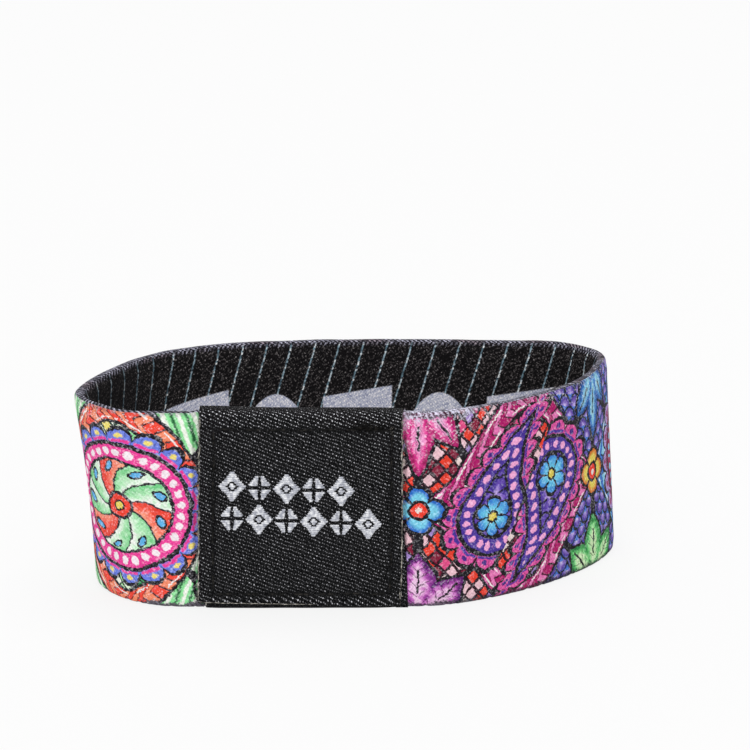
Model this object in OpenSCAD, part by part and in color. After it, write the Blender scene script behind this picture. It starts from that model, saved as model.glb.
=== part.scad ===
// Fabric wristband: a loop of printed elastic webbing, closed under a woven label, standing on its edge.
// +X runs along the label, +Y from the label to the back of the loop, +Z up.
// The origin is on the table, under the middle of the whole outline.

/* [Band] */
// Height of the standing band, which is the width of its webbing
band_height = 25; // [20:1:30]
// Thickness of the elastic webbing
band_wall = 1.6; // [1.4:0.1:2]
// Rounding of the woven edges
edge_round = 0.6; // [0.3:0.1:0.6]
// Length round the loop at the middle of its wall
loop_length = 162; // [155:1:185]
// Longest step between two sections of the loop
section_step = 1.5; // [1.2:0.1:3]

/* [Label] */
// Width of the label along the band
label_width = 25.2; // [20:0.1:26]
// Thickness of the label, a strip of tape wound round the band
label_wall = 1; // [1:0.1:1.4]
// How far the label's top fold stands above the band
label_rise = 0.4; // [0.2:0.1:0.8]
// Outer rounding of the label's four folds
fold_round = 1.3; // [1.1:0.1:1.6]
// Gap between the label and the band
label_gap = 0.1; // [0.05:0.05:0.2]
// How far the strip's inner end shows past the right side, at the foot
lip_width = 1.2; // [0.6:0.1:2]
// How far the lowest turn of the strip is set in from the left side
foot_inset = 1; // [0.5:0.1:2]
// Height of the label's lower cut edge above the table
foot_height = 0.7; // [0.4:0.1:0.9]

/* [Hidden] */

// The lay of the loop, seen from above at the middle of the wall's lower edge. Each row is one section,
// going right from the label: across and deep from the label's middle in mm, heading in degrees, and how
// far the top edge leans outward in mm.
ACROSS = 0;
DEEP = 1;
HEADING = 2;
LEAN = 3;
LAY = [
    [ 14.8,  0.0,   0,  1.0],
    [ 24.0,  3.4,  33,  0.6],
    [ 33.0, 11.6,  51,  0.2],
    [ 38.8, 22.0,  75, -1.4],
    [ 37.5, 29.0, 126, -1.0],
    [ 31.5, 32.2, 176,  0.0],
    [ -5.5, 31.0, 190,  1.0],
    [-15.5, 27.0, 214,  1.4],
    [-22.0, 18.5, 241,  1.6],
    [-24.8,  9.5, 270,  2.5],
    [-21.1,  2.6, 316,  2.8],
    [-14.8,  0.0, 360,  1.0]
];
label_lean = LAY[0][LEAN];

// The label's seat, where the wound strip draws the band's two edges in. Seat_step is the length over
// which an edge comes back out past the label's side.
label_seat = label_wall + label_gap;
edge_draw_low = label_seat;
edge_draw_high = label_seat - label_rise;
seat_half = label_width / 2 + 2 * label_gap;
seat_step = 0.4;

// One smooth stretch of the loop between two rows a and b.
function hermite(a, b, pull_a, pull_b, t) =
    (2*t*t*t - 3*t*t + 1) * a + (t*t*t - 2*t*t + t) * pull_a
    + (3*t*t - 2*t*t*t) * b + (t*t*t - t*t) * pull_b;
function hermite_slope(a, b, pull_a, pull_b, t) =
    (6*t*t - 6*t) * (a - b) + (3*t*t - 4*t + 1) * pull_a + (3*t*t - 2*t) * pull_b;
function place(row) = [row[ACROSS], row[DEEP]];
function toward(heading) = [cos(heading), sin(heading)];
function ease(t) = t * t * (3 - 2*t);
function chord(a, b) = norm(place(b) - place(a));
function pull(a, b) = chord(a, b) / pow(cos((b[HEADING] - a[HEADING]) / 4), 2);

// A section of the loop is [place, outward direction, lean of the top edge, share of the edges' draw].
AT = 0;
OUTWARD = 1;
TIP = 2;
DRAW = 3;
function section_at(a, b, draw_a, draw_b, t) =
    let (
        pull_a = pull(a, b) * toward(a[HEADING]),
        pull_b = pull(a, b) * toward(b[HEADING]),
        way = hermite_slope(place(a), place(b), pull_a, pull_b, t)
    )
    [hermite(place(a), place(b), pull_a, pull_b, t), [way[1], -way[0]] / norm(way),
     a[LEAN] + (b[LEAN] - a[LEAN]) * ease(t), draw_a + (draw_b - draw_a) * ease(t)];
function stretch(a, b, draw_a = 0, draw_b = 0) =
    let (steps = max(2, ceil(chord(a, b) / section_step)))
    [for (k = [0 : steps - 1]) section_at(a, b, draw_a, draw_b, k / steps)];
function free_run(rows) = [for (k = [0 : len(rows) - 2]) each stretch(rows[k], rows[k + 1])];

// The table is drawn for one length, and the loop is spread to the length asked for.
function run_length(places, k = 0) =
    k >= len(places) - 1 ? 0 : norm(places[k + 1] - places[k]) + run_length(places, k + 1);
LAY_PLACES = concat([for (section = free_run(LAY)) section[AT]], [place(LAY[len(LAY) - 1]), place(LAY[0])]);
lay_length = run_length(LAY_PLACES);
spread = loop_length / lay_length;
SPREAD_LAY = [for (row = LAY) [row[ACROSS] * spread, row[DEEP] * spread, row[HEADING], row[LEAN]]];
function front_row(across) = [across, 0, 360, label_lean];
SECTIONS = concat(
    free_run(SPREAD_LAY),
    stretch(SPREAD_LAY[len(LAY) - 1], front_row(-seat_half - seat_step)),
    stretch(front_row(-seat_half - seat_step), front_row(-seat_half), 0, 1),
    stretch(front_row(-seat_half), front_row(seat_half), 1, 1),
    stretch(front_row(seat_half), front_row(seat_half + seat_step), 1, 0),
    stretch(front_row(seat_half + seat_step), front_row(SPREAD_LAY[0][ACROSS]))
);

// Outline of the wall's cut, as [outward, up]: a rectangle with rounded corners.
CORNER_STEPS = 2;
function corner(centre, radius, from, steps) =
    [for (k = [0 : steps]) centre + radius * toward(from + 90 * k / steps)];
function rounded_outline(low, high, radius, steps) = concat(
    corner([high[0] - radius, low[1] + radius], radius, -90, steps),
    corner([high[0] - radius, high[1] - radius], radius, 0, steps),
    corner([low[0] + radius, high[1] - radius], radius, 90, steps),
    corner([low[0] + radius, low[1] + radius], radius, 180, steps)
);
function wall_ring(section) =
    let (
        low = [-band_wall / 2, section[DRAW] * edge_draw_low],
        high = [band_wall / 2, band_height - section[DRAW] * edge_draw_high]
    )
    [for (cut = rounded_outline(low, high, edge_round, CORNER_STEPS))
        let (spot = section[AT] + section[OUTWARD] * (cut[0] + section[TIP] * cut[1] / band_height))
        [spot[0], spot[1], cut[1]]];
RINGS = [for (section = SECTIONS) wall_ring(section)];
WALL_POINTS = [for (ring = RINGS) each ring];

// Outline of the label's wound strip, as [away from the front, up], leaning with the band.
FOLD_STEPS = 5;
fold_inner_round = 0.4;
label_half_depth = band_wall / 2 + label_seat;
label_height = band_height + label_rise;
function leaned(outline) = [for (spot = outline) [spot[0] - label_lean * spot[1] / band_height, spot[1]]];
function strip_outline(inset) = leaned(rounded_outline(
    [-label_half_depth + inset, inset], [label_half_depth - inset, label_height - inset],
    fold_round + (fold_inner_round - fold_round) * inset / label_wall, FOLD_STEPS));
LABEL_OUTLINE = strip_outline(0);

// Middle of the whole outline, which becomes the origin.
across_values = [for (spot = WALL_POINTS) spot[0]];
deep_values = concat([for (spot = WALL_POINTS) spot[1]], [for (spot = LABEL_OUTLINE) spot[0]]);
centre_across = (min(across_values) + max(across_values)) / 2;
centre_deep = (min(deep_values) + max(deep_values)) / 2;

module to_origin() {
    translate([-centre_across, -centre_deep, 0]) children();
}

// Draws an outline given as [away from the front, up] and runs it along the band.
module along_band(from, to) {
    translate([from, 0, 0]) rotate([90, 0, 90]) linear_extrude(height = to - from) children();
}

module elastic_band() {
    ring_size = len(RINGS[0]);
    ring_count = len(RINGS);
    color("mediumvioletred")
    to_origin()
    polyhedron(
        points = WALL_POINTS,
        faces = [for (k = [0 : ring_count - 1], j = [0 : ring_size - 1])
            let (next_k = (k + 1) % ring_count, next_j = (j + 1) % ring_size)
            each [
                [k * ring_size + j, next_k * ring_size + j, next_k * ring_size + next_j],
                [k * ring_size + j, next_k * ring_size + next_j, k * ring_size + next_j]
            ]]
    );
}

// The inner end of the strip, which shows as a thin wedge past the right side of the panel.
module label_lip() {
    side = label_width / 2;
    lip_low = label_wall / 4;
    lip_top = label_height / 2;
    lip_face = -label_half_depth + label_wall / 2;
    lip_back = -label_half_depth + label_wall;
    intersection() {
        along_band(side - label_gap, side + lip_width)
            polygon(leaned([[lip_face, 0], [lip_back, 0], [lip_back, lip_top], [lip_face, lip_top]]));
        translate([0, label_half_depth, 0]) rotate([90, 0, 0]) linear_extrude(height = 3 * label_half_depth)
            polygon([[0, lip_low], [side + lip_width, lip_low], [side, lip_top], [0, lip_top]]);
    }
}

module label() {
    color("#1d1c1f")
    to_origin()
    difference() {
        union() {
            along_band(-label_width / 2, label_width / 2) difference() {
                polygon(LABEL_OUTLINE);
                polygon(strip_outline(label_wall));
            }
            label_lip();
        }
        translate([-label_width, -2 * label_half_depth, -label_wall])
            cube([label_width / 2 + foot_inset, 4 * label_half_depth, label_wall + foot_height]);
    }
}

elastic_band();
label();
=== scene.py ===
"""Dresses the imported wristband: a standing loop of printed elastic webbing under a wound woven label."""

import math
import random
from collections import namedtuple

import bpy
import numpy as np
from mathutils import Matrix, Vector, noise


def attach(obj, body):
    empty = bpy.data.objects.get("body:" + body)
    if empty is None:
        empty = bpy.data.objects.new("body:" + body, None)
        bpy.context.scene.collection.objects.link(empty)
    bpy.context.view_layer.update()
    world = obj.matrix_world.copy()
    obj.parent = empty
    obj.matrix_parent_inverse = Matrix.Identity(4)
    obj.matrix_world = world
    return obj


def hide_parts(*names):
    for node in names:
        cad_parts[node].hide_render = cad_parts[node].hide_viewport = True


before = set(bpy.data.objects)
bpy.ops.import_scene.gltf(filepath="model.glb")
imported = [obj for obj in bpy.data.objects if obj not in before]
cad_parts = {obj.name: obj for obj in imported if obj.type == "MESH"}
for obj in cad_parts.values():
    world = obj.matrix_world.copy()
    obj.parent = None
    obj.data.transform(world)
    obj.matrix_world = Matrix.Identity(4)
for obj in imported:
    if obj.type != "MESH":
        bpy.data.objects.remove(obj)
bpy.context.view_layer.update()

MM = 0.001
TURN = math.tau
random.seed(41)

# Sizes in millimetres, the same as the solids have.
BAND_HEIGHT = 25.0
BAND_WALL = 1.6
LOOP_LENGTH = 162.0
LABEL_WIDTH = 25.2
LABEL_HEIGHT = 25.4
LABEL_HALF_DEPTH = 1.9
LABEL_LINING_DEPTH = 0.9
LABEL_FOLD_ROUND = 1.3
LABEL_FOOT_HEIGHT = 0.7
LABEL_FOOT_INSET = 1.0
LIP_WIDTH = 1.2
# How far the label draws the webbing's two edges in, and the length over which they come back out.
EDGE_DRAW_LOW = 1.1
EDGE_DRAW_HIGH = 0.7
SEAT_STEP = 0.4
# Where the origin lies from the middle of the label's place on the loop.
ORIGIN_ACROSS = 5.914
ORIGIN_DEEP = 15.643

# What the cloth has beyond the solids, in mm.
BAND_EDGE_ROUND = 0.4
# How much of its half thickness the wall loses at its two edges, on the print's side and on the lining's.
PRINT_THIN, LINING_THIN = 0.2, 0.5
# The label sits a little askew: how far its top stands to the right, how much narrower it is there, and
# how far its right side draws in at the foot.
LABEL_TOP_SHIFT = 0.17
LABEL_TOP_DRAW = 0.023
LABEL_FOOT_DRAW = 0.35
# The stitched frame on the label.
Frame = namedtuple("Frame", "left right low high")
STITCHED = Frame(-LABEL_WIDTH / 2 + 1.8, LABEL_WIDTH / 2 - 1.3, 1.9, LABEL_HEIGHT - 2.3)
# Runs up the label's front and on over its top: to the middle of the fold there, and all the way round to
# the lower cut edge.
FOLD_RUN = 25.44
FOOT_RUN = 55.85

# The print: the length of its blocks along the webbing, where the first one's middle lies, how many there
# are, and its black.
BLOCK = 28.0
FIRST_BLOCK = 28.5
BLOCKS = 5.0
INK = "16141a"
# The width of a lobe in the fringe of its drops and wheels.
LOBE = 2.1
# The webbing's middle line, which the print and the selvages are drawn from.
MIDDLE_UP = BAND_HEIGHT / 2
# How many rows and seats of satin floats there are in a mm, along and up.
FLOAT_TURNS = ((0.79, 2.10), (4.22, 1.38))
# How steeply a float falls to the right, and its half length and half width.
FLOAT_FALL = math.radians(20.6)
FLOAT_REACH = 0.14
FLOAT_WIDTH = 0.1
# Runs along the webbing, going right from the label's middle: where it comes out at the label's right side,
# where it goes in under its left side, and where the left side of the loop and the painted shade on the
# lining's far end begin.
PAST_RIGHT = 12.0
PAST_LEFT = 152.0
LEFT_START = 118.0
LINING_FAR = 124.0
# The lining's pinstripes, and the pale shapes between them.
STRIPE_PITCH = 3.1
STRIPE_SLANT = 0.296
SHAPE_PITCH = 10.6
SHAPES_START = 61.6

# The lay of the loop, going right from the label. Heading is in degrees, lean is how far the top edge
# stands outward.
Station = namedtuple("Station", "across deep heading lean")
LAY = [
    Station(14.8, 0.0, 0, 1.0),
    Station(24.0, 3.4, 33, 0.6),
    Station(33.0, 11.6, 51, 0.2),
    Station(38.8, 22.0, 75, -1.4),
    Station(37.5, 29.0, 126, -1.0),
    Station(31.5, 32.2, 176, 0.0),
    Station(-5.5, 31.0, 190, 1.0),
    Station(-15.5, 27.0, 214, 1.4),
    Station(-22.0, 18.5, 241, 1.6),
    Station(-24.8, 9.5, 270, 2.5),
    Station(-21.1, 2.6, 316, 2.8),
    Station(-14.8, 0.0, 360, 1.0),
]
LABEL_LEAN = LAY[0].lean


def linear(code):
    """The linear colour of a six-digit code."""
    parts = [int(code[k : k + 2], 16) / 255 for k in (0, 2, 4)]
    return tuple(p / 12.92 if p <= 0.04045 else ((p + 0.055) / 1.055) ** 2.4 for p in parts) + (1.0,)


def ease(t):
    """A share from 0 to 1, made to start and end gently."""
    return t * t * (3 - 2 * t)


def bump_at(x, middle, width):
    """1 at middle, falling off to 0 over about width on both sides."""
    return math.exp(-(((x - middle) / width) ** 2))


# The loop's line


def walk_lay(steps=60):
    """Closely spaced places and leans round the loop, starting at the label's middle."""
    places, leans = [(0.0, 0.0)], [LABEL_LEAN]
    for a, b in zip(LAY, LAY[1:]):
        chord = math.hypot(b.across - a.across, b.deep - a.deep)
        pull = chord / math.cos(math.radians((b.heading - a.heading) / 4)) ** 2
        ways = [(math.cos(math.radians(s.heading)), math.sin(math.radians(s.heading))) for s in (a, b)]
        for j in range(steps):
            t = j / steps
            from_a, from_b = 2 * t**3 - 3 * t**2 + 1, 3 * t**2 - 2 * t**3
            out_a, out_b = pull * (t**3 - 2 * t**2 + t), pull * (t**3 - t**2)
            places.append((
                from_a * a.across + from_b * b.across + out_a * ways[0][0] + out_b * ways[1][0],
                from_a * a.deep + from_b * b.deep + out_a * ways[0][1] + out_b * ways[1][1],
            ))
            leans.append(a.lean + (b.lean - a.lean) * ease(t))
    places += [(LAY[-1].across, LAY[-1].deep), (0.0, 0.0)]
    leans += [LAY[-1].lean, LABEL_LEAN]
    return np.array(places), np.array(leans)


LAY_PLACES, LAY_LEANS = walk_lay()
lay_runs = np.concatenate([[0], np.cumsum(np.hypot(*np.diff(LAY_PLACES, axis=0).T))])
LAY_PLACES *= LOOP_LENGTH / lay_runs[-1]
lay_runs *= LOOP_LENGTH / lay_runs[-1]


def on_loop(run):
    """(place, outward direction, lean) at a run along the loop, in mm."""
    run %= LOOP_LENGTH
    spots = [
        np.array([np.interp(r % LOOP_LENGTH, lay_runs, LAY_PLACES[:, k]) for k in (0, 1)])
        for r in (run, run - 0.2, run + 0.2)
    ]
    way = (spots[2] - spots[1]) / np.hypot(*(spots[2] - spots[1]))
    lean = float(np.interp(run, lay_runs, LAY_LEANS))
    return spots[0], np.array([way[1], -way[0]]), lean


def beside_label(run):
    """How far a run round the loop is to the right of the label's middle, in mm."""
    return (run + LOOP_LENGTH / 2) % LOOP_LENGTH - LOOP_LENGTH / 2


def ramp(x):
    """0 below 0, 1 above 1, eased between."""
    return ease(min(1.0, max(0.0, x)))


def seat_share(across, left, right):
    """1 where the label draws one of the webbing's edges in, 0 past the ends of that stretch."""
    return ramp(min(across - left, right - across) / SEAT_STEP)


def to_frame(across, deep, up):
    """A place from the label's middle, in the frame's own coordinates, in mm."""
    return (across - ORIGIN_ACROSS, deep - ORIGIN_DEEP, up)


# Meshes


def add_piece(name, spots, faces, looks, face_looks=None, coordinates=None):
    """A smooth mesh piece from spots in mm. Coordinates gives each face's corner places on the cloth, in
    mm."""
    mesh = bpy.data.meshes.new(name)
    mesh.from_pydata([tuple(c * MM for c in spot) for spot in spots], [], faces)
    for look in looks:
        mesh.materials.append(look)
    if face_looks is not None:
        mesh.polygons.foreach_set("material_index", face_looks)
    if coordinates is not None:
        layer = mesh.uv_layers.new(name="cloth")
        flat = [c * MM for face in coordinates for corner in face for c in corner]
        layer.data.foreach_set("uv", flat)
    mesh.polygons.foreach_set("use_smooth", [True] * len(mesh.polygons))
    mesh.validate()
    mesh.update()
    piece = bpy.data.objects.new(name, mesh)
    bpy.context.collection.objects.link(piece)
    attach(piece, "root")
    return piece


def rounded_section(half_depth, height, radius, straight_step, corner_steps):
    """Points of a rounded rectangle as (depth, up, normal), from the outer face's foot and round over the
    top, with the run of each along the section."""
    points = []
    side, top = half_depth - radius, height - radius

    def straight(start, end, normal):
        steps = max(1, round(math.dist(start, end) / straight_step))
        for k in range(steps):
            t = k / steps
            points.append((start[0] + (end[0] - start[0]) * t, start[1] + (end[1] - start[1]) * t, normal))

    def corner(middle, begin):
        for k in range(corner_steps):
            turn = math.radians(begin + 90 * k / corner_steps)
            normal = (math.cos(turn), math.sin(turn))
            points.append((middle[0] + radius * normal[0], middle[1] + radius * normal[1], normal))

    straight((half_depth, radius), (half_depth, top), (1, 0))
    corner((side, top), 0)
    straight((side, height), (-side, height), (0, 1))
    corner((-side, top), 90)
    straight((-half_depth, top), (-half_depth, radius), (-1, 0))
    corner((-side, radius), 180)
    straight((-side, 0), (side, 0), (0, -1))
    corner((side, radius), 270)
    runs = [0.0]
    for k in range(len(points)):
        runs.append(runs[-1] + math.dist(points[k][:2], points[(k + 1) % len(points)][:2]))
    return points, runs


def loft_faces(ring_count, ring_size, closed):
    """The rings and points at the corners of each quad between neighbouring rings: a ring, the next one, a
    point and the next one."""
    last = ring_count if closed else ring_count - 1
    for k in range(last):
        for j in range(ring_size):
            yield k, (k + 1) % ring_count, j, (j + 1) % ring_size


# Materials


class Value:
    """A number or colour that a material works out at each point of a surface."""

    def __init__(self, tree, socket):
        self.tree = tree
        self.socket = socket

    def __add__(self, other):
        return calculate("ADD", self, other)

    def __sub__(self, other):
        return calculate("SUBTRACT", self, other)

    def __rsub__(self, other):
        return calculate("SUBTRACT", other, self)

    def __mul__(self, other):
        return calculate("MULTIPLY", self, other)

    def __truediv__(self, other):
        return calculate("DIVIDE", self, other)

    def __neg__(self):
        return calculate("MULTIPLY", self, -1.0)

    def __abs__(self):
        return calculate("ABSOLUTE", self)


def node_value(tree, kind, inputs, output=0, **settings):
    """Adds a node with these settings and inputs, by name or number, and gives one of its outputs."""
    node = tree.nodes.new(kind)
    for name, setting in settings.items():
        setattr(node, name, setting)
    for name, given in inputs.items():
        if isinstance(given, Value):
            tree.links.new(given.socket, node.inputs[name])
        else:
            node.inputs[name].default_value = given
    return Value(tree, node.outputs[output])


def calculate(operation, *terms):
    """A Math node's result. One of the terms at least is a Value."""
    tree = next(term.tree for term in terms if isinstance(term, Value))
    return node_value(tree, "ShaderNodeMath", dict(enumerate(terms)), operation=operation)


def sine(x):
    return calculate("SINE", x)


def cosine(x):
    return calculate("COSINE", x)


def root(x):
    return calculate("SQRT", x)


def length(x, y):
    return root(x * x + y * y)


def angle(y, x):
    return calculate("ARCTAN2", y, x)


def part(x):
    """What is left of x over a whole number."""
    return calculate("FRACT", x)


def whole(x):
    return calculate("FLOOR", x)


def least(x, y):
    return calculate("MINIMUM", x, y)


def most(x, y):
    return calculate("MAXIMUM", x, y)


def above(x, y):
    """1 where x is more than y."""
    return calculate("GREATER_THAN", x, y)


def rise(x, low, high):
    """0 below low, 1 above high, eased between."""
    return node_value(
        x.tree,
        "ShaderNodeMapRange",
        {"Value": x, "From Min": low, "From Max": high},
        interpolation_type="SMOOTHSTEP",
    )


def between(x, low, high, soft=0.06):
    """1 between low and high."""
    return rise(x, low - soft, low + soft) * rise(-x, -high - soft, -high + soft)


def inside(x, edge, soft=0.06):
    """1 where x is less than edge."""
    return rise(-x, -edge - soft, -edge + soft)


def swap(a, b, share):
    """The number a, going to b by share."""
    return node_value(share.tree, "ShaderNodeMix", {"Factor": share, 2: a, 3: b}, data_type="FLOAT")


def paint(under, colour, mask):
    """A colour laid on another where mask is 1."""
    colours = [linear(c) if isinstance(c, str) else c for c in (under, colour)]
    return node_value(
        mask.tree, "ShaderNodeMix", {"Factor": mask, 6: colours[0], 7: colours[1]}, 2, data_type="RGBA"
    )


def choose(x, *codes):
    """One of the colours, by x from 0 to 1."""
    return colour_steps(x, codes, "CONSTANT")


def grade(x, *codes):
    """The colours in a row, running into each other, by x from 0 to 1."""
    return colour_steps(x, codes, "LINEAR")


def colour_steps(x, codes, interpolation):
    """A row of colours by x, each alone or running into the next."""
    made = node_value(x.tree, "ShaderNodeValToRGB", {"Fac": x})
    ramp = made.socket.node.color_ramp
    ramp.interpolation = interpolation
    count = len(codes)
    gaps = count if interpolation == "CONSTANT" else count - 1
    for k, code in enumerate(codes):
        spot = ramp.elements[k] if k < 2 else ramp.elements.new(k / gaps)
        spot.position = k / gaps
        spot.color = linear(code)
    return made


def spot_of(x, y, z=0.0):
    """A place for a texture to be read at."""
    return node_value(x.tree, "ShaderNodeCombineXYZ", {0: x, 1: y, 2: z})


def cloud(place, scale, detail=2.0):
    """Smooth noise, mostly from 0.3 to 0.7."""
    return node_value(place.tree, "ShaderNodeTexNoise", {"Vector": place, "Scale": scale, "Detail": detail})


def random_at(place):
    """A random number from 0 to 1, its own at each place."""
    return node_value(place.tree, "ShaderNodeTexWhiteNoise", {"Vector": place}, noise_dimensions="3D")


def cloth_place(tree):
    """The place on the cloth, along and across it in mm."""
    uv = node_value(tree, "ShaderNodeUVMap", {}, uv_map="cloth")
    split = tree.nodes.new("ShaderNodeSeparateXYZ")
    tree.links.new(uv.socket, split.inputs[0])
    return Value(tree, split.outputs[0]) * 1000.0, Value(tree, split.outputs[1]) * 1000.0


def new_look(name, **sockets):
    """A material with one Principled shader, and these of its sockets set."""
    look = bpy.data.materials.new(name)
    look.use_nodes = True
    shader = look.node_tree.nodes["Principled BSDF"]
    for socket, setting in sockets.items():
        shader.inputs[socket.replace("_", " ")].default_value = setting
    return look, look.node_tree


def finish_look(look, colour, height, relief, strength=1.0, roughness=None):
    """Feeds the shader its colour, the relief of its surface, up to relief mm high, and its roughness."""
    tree = look.node_tree
    shader = tree.nodes["Principled BSDF"]
    tree.links.new(colour.socket, shader.inputs["Base Color"])
    if roughness is not None:
        tree.links.new(roughness.socket, shader.inputs["Roughness"])
    normal = node_value(
        tree, "ShaderNodeBump", {"Height": height, "Distance": relief * MM, "Strength": strength}
    )
    tree.links.new(normal.socket, shader.inputs["Normal"])
    return look


def teardrop(x, y, head, reach, curl):
    """How far inside a curled teardrop's outline a place is, in mm, and the run along the outline from
    where its head ends. The head's middle is at 0, 0 and the tip is up."""
    climb = most(y, 0.0) / reach
    x = abs(x - climb * climb * curl)
    b = head / reach
    a = (1 - b * b) ** 0.5
    along_side = y * a - x * b
    off_side = x * a + y * b
    on_side = above(along_side, 0.0)
    depth = head - swap(length(x, y), off_side, on_side)
    run = swap(angle(along_side, off_side) * head, along_side, on_side)
    return depth, run


def scallops(run, pitch, high):
    """The height of a row of round lobes along an edge."""
    swing = part(run / pitch) - 0.5
    return root(most(1.0 - swing * swing * 4.0, 0.0)) * high


def scales(x, y, wide, tall):
    """Overlapping round scales: how far out in its scale a place is, 1 at the scale's rim."""
    level = y / tall
    swing = part(x / wide + whole(level) * 0.5) - 0.5
    return length(swing * 1.9, part(level))


def fan(x, y, spread, long, shorter, wide, outermost):
    """Petals that fan out from 0, 0: how far inside a petal's rim, off its middle line, and out it is."""
    out = length(x, y)
    swing = angle(x, y)
    petal = least(whole(swing / spread + 0.5), outermost)
    off = abs(swing - petal * spread) * out
    belly = sine(least(out / (long - petal * shorter), 1.0) * math.pi) * wide
    return belly - off, off, out


# The print


# Across and up are from the middle of a place's block, and far and high are the same with no sign. Tint
# counts the blocks from 0 to 1 and seam_tint the crossings between them, wheel is 1 in the blocks that hold
# a wheel, and facet makes the ink's small facets a little lighter or darker.
PrintPlace = namedtuple("PrintPlace", "x y across up far high tint seam_tint wheel facet")


def print_place(along, up):
    """A place on the print, swayed a little as hand-drawn lines are."""
    place, other = spot_of(along, up), spot_of(along, up, 7.3)
    x = along + (cloud(place, 0.35) - 0.5) + (cloud(place, 1.9, 1.0) - 0.5) * 0.26
    y = up + (cloud(other, 0.35) - 0.5) + (cloud(other, 1.9, 1.0) - 0.5) * 0.26
    count = (x - FIRST_BLOCK) / BLOCK
    block = whole(count + 0.5)
    across, over = (count - block) * BLOCK, y - MIDDLE_UP
    return PrintPlace(
        x, y, across, over, abs(across), abs(over),
        tint=(block + 0.5) / BLOCKS,
        seam_tint=(whole(count) + 1.5) / (BLOCKS + 1),
        wheel=above(part(block * 0.3 + 0.35), 0.5),
        facet=random_at(spot_of(whole((x + y) / 0.66), whole((x - y) / 0.66), 5.0)) - 0.5,
    )


def print_spaces(at):
    """The colours inside the ribbons and between them: small diamonds, blades and scales."""
    gx, gy = (at.x + at.y * 0.8) / 1.75, (at.x - at.y * 0.8) / 1.75
    pick = random_at(spot_of(whole(gx), whole(gy), 2.0))
    chip = 0.5 - most(abs(part(gx) - 0.5), abs(part(gy) - 0.5))
    warm = choose(
        pick, "f4402a", "f4c8d2", "8a1a3a", "f4402a", "e8508a", "f2dcd8", "f4402a", "f4c8d2", "a88ad0"
    )
    warm = paint("2c0d1a", warm, above(chip, 0.12))
    fresh = choose(pick, "8ee89a", "f4fbec", "b4f8ac", "46b070", "f4e470", "e8fbdc", "8ee89a")
    fresh = paint("123a22", fresh, above(chip, 0.09))
    blade = abs(part((at.far + at.high * 0.35) / 1.7) - 0.5)
    leafy = paint(paint("246a3a", "8ee89a", inside(blade, 0.40)), "f8fdf0", inside(blade, 0.16))
    shell = scales(at.far, at.high + at.far * 0.2, 2.0, 1.45)
    dusky = paint(grade(shell, "d8ccf6", "9a80d8", "5a3aa0", "4a7ad8"), INK, inside(abs(shell - 0.95), 0.12))
    within = paint(warm, fresh, above(at.tint, 0.62))
    within = paint(within, dusky, between(at.tint, 0.2, 0.4, 0.01))
    outside = paint(leafy, dusky, between(at.seam_tint, 0.16, 0.34, 0.01))
    warm_seams = least(above(0.16, at.seam_tint) + between(at.seam_tint, 0.5, 0.66, 0.01), 1.0)
    return within, paint(outside, warm, warm_seams)


def ribbon_distance(at):
    """How far outside the middle line of the two ribbons that cross between the blocks, in mm."""
    swing, reach = at.across * (TURN / BLOCK), MIDDLE_UP / 2
    slope = sine(swing) * (reach * TURN / BLOCK)
    return (at.high - (cosine(swing) * reach + reach)) / root(slope * slope + 1.0)


def lay_blooms(colour, at):
    """A bloom above and leaves below each crossing."""
    sx, sy = BLOCK / 2 - at.far, 14.0 - at.high
    top = above(at.up, 0.0)
    rim, vein, out = fan(sx, sy, 0.62, 9.6, 2.2, 1.8, 1.0)
    petal_tone = rise(rim, 0.1, 1.5) + at.facet * 0.45
    petal = paint(grade(petal_tone, "a81460", "f0409c", "ffa8dc"),
                  grade(petal_tone, "d02a1c", "ff5a3a", "f6e070"), above(at.seam_tint, 0.66))
    petal = paint(petal, grade(petal_tone, "1c4f9a", "3f8fe0", "9fe0f6"),
                  between(at.seam_tint, 0.16, 0.34, 0.01))
    hatch = inside(abs(part(vein / 0.62) - 0.5), 0.07, 0.05) * between(out, 2.4, 7.4, 0.4)
    petal = paint(petal, "3c0c3a", hatch * 0.55)
    leaf_rim, leaf_vein, leaf_out = fan(sx, sy, 0.80, 8.6, 1.2, 2.3, 1.0)
    leaf_tone = rise(leaf_rim, 0.1, 1.9) + at.facet * 0.4
    orchid = above(0.16, at.seam_tint)
    leaf = paint(grade(leaf_tone, "2a8a44", "5cc46c", "9aec98", "dcf8c4"),
                 grade(leaf_tone, "5c1a6e", "a844a8", "de84d4", "f8ccee"), orchid)
    side_vein = abs(part(leaf_out / 1.1 - leaf_vein * 0.9) - 0.5)
    leaf_ink = paint("14602c", "3c0c3a", orchid)
    leaf = paint(leaf, leaf_ink, inside(side_vein, 0.07, 0.04) * between(leaf_vein, 0.1, 1.3) * 0.8)
    rim = swap(leaf_rim, rim, top)
    vein = swap(leaf_vein, vein, top)
    colour = paint(colour, INK, above(rim, -0.55))
    colour = paint(colour, paint(leaf, petal, top), above(rim, 0.0))
    return paint(colour, INK, inside(vein, 0.15) * between(out, 3.2, 6.4))


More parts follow.
